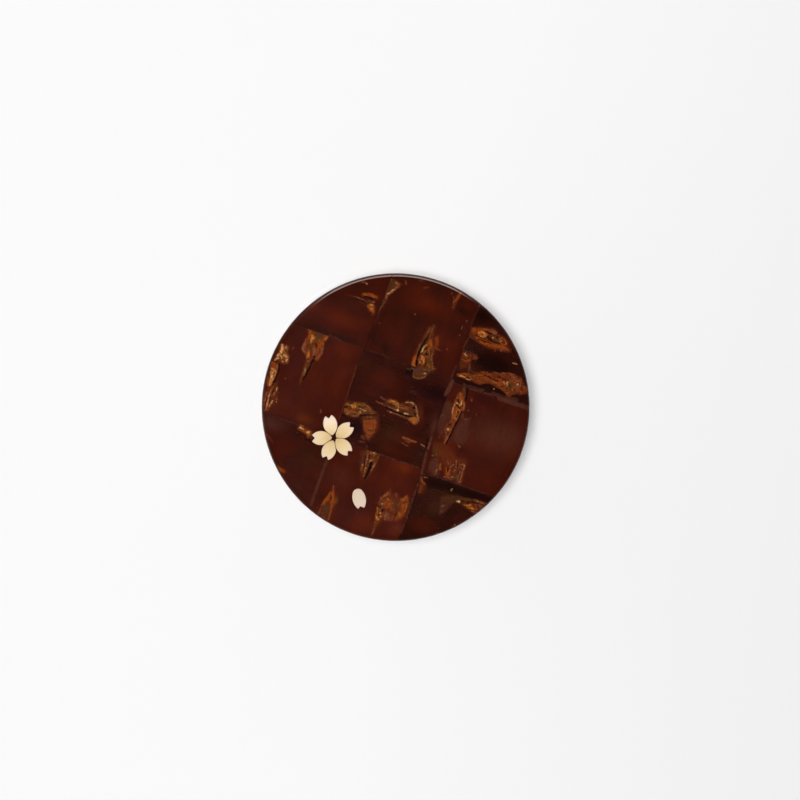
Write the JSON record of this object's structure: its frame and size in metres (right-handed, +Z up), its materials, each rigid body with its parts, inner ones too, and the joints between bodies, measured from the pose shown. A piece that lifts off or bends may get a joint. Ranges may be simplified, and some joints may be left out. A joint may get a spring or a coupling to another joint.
{
  "type": "tea caddy",
  "caption": "Round tea caddy veneered in polished cherry bark patchwork, with a lift-off lid inlaid with pale blossom petals, an inner sleeve and an inner lid with a knob.",
  "frame": {"origin": "centre of the resting face under the base", "axes": "+Z up along the caddy's axis, towards the lid; +Y towards the back of the lid's pattern, +X to its right"},
  "size_m": [0.08, 0.08, 0.088],
  "materials": {
    "polished_bark": "gloss",
    "inner_bark": "satin",
    "core_wood": "matte",
    "knob_wood": "satin",
    "inlay_wood": "gloss"
  },
  "bodies": {
    "body": {"body_core": "core_wood", "base_board": "core_wood", "base_bark": "polished_bark", "floor_bark": "inner_bark", "sleeve_core": "core_wood", "sleeve_outer_bark": "inner_bark", "sleeve_lining": "inner_bark", "sleeve_rim_bark": "polished_bark", "body_wall_bark_upper": "polished_bark", "body_wall_bark_lower": "polished_bark"},
    "lid": {"lid_core": "core_wood", "lid_top_board": "core_wood", "lid_lining": "inner_bark", "lid_ceiling_bark": "inner_bark", "top_bark_north_west": "polished_bark", "top_bark_north": "polished_bark", "top_bark_north_east": "polished_bark", "top_bark_west": "polished_bark", "top_bark_centre": "polished_bark", "top_bark_east": "polished_bark", "top_bark_south_west": "polished_bark", "top_bark_south": "polished_bark", "top_bark_south_east": "polished_bark", "blossom_petals": "inlay_wood", "loose_petal": "inlay_wood", "lid_wall_bark_upper": "polished_bark", "lid_wall_bark_lower": "polished_bark"},
    "inner_lid": {"inner_lid_board": "core_wood", "inner_lid_plug_ring": "core_wood", "inner_lid_top_bark": "polished_bark", "inner_lid_under_bark": "inner_bark", "inner_lid_edge_bark": "polished_bark", "knob": "knob_wood", "knob_cap_bark": "polished_bark"}
  },
  "joints": [
    {"name": "lid_lift", "type": "slide", "parent": "body", "child": "lid", "axis": [0, 0, 1], "range_m": [0, 0.11]},
    {"name": "inner_lid_lift", "type": "slide", "parent": "body", "child": "inner_lid", "axis": [0, 0, 1], "range_m": [0, 0.0495]}
  ],
  "couplings": [
    {"joint": "inner_lid_lift", "follows": "lid_lift", "ratio": 0.45}
  ]
}
